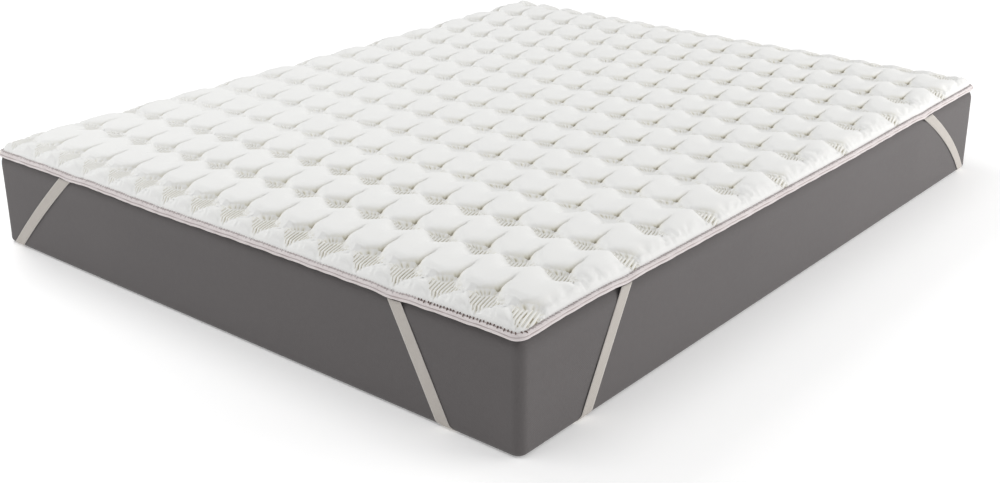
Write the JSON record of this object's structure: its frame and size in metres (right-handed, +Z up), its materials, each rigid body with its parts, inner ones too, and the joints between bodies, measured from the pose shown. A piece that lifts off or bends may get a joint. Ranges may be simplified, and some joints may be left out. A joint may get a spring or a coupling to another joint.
{
  "type": "quilted mattress topper on the mattress it fits",
  "caption": "Quilted mattress topper with staggered diamond tufts and a bound rim, held by elastic corner straps on a plain grey double mattress.",
  "frame": {"origin": "on the floor under the middle of the mattress", "axes": "+X along the mattress's length, +Y across its width, +Z up from the floor"},
  "size_m": [2.0062, 1.6072, 0.2687],
  "materials": {
    "quilt_white": "matte microfibre",
    "tape_mauve": "matte woven tape",
    "elastic_beige": "matte woven elastic",
    "mattress_grey": "matte knitted cover"
  },
  "bodies": {
    "root": {"mattress": "mattress_grey", "quilted_pad": "quilt_white", "edge_binding": "tape_mauve", "corner_strap_near": "elastic_beige", "corner_strap_left": "elastic_beige", "corner_strap_right": "elastic_beige", "corner_strap_back": "elastic_beige"}
  },
  "joints": []
}
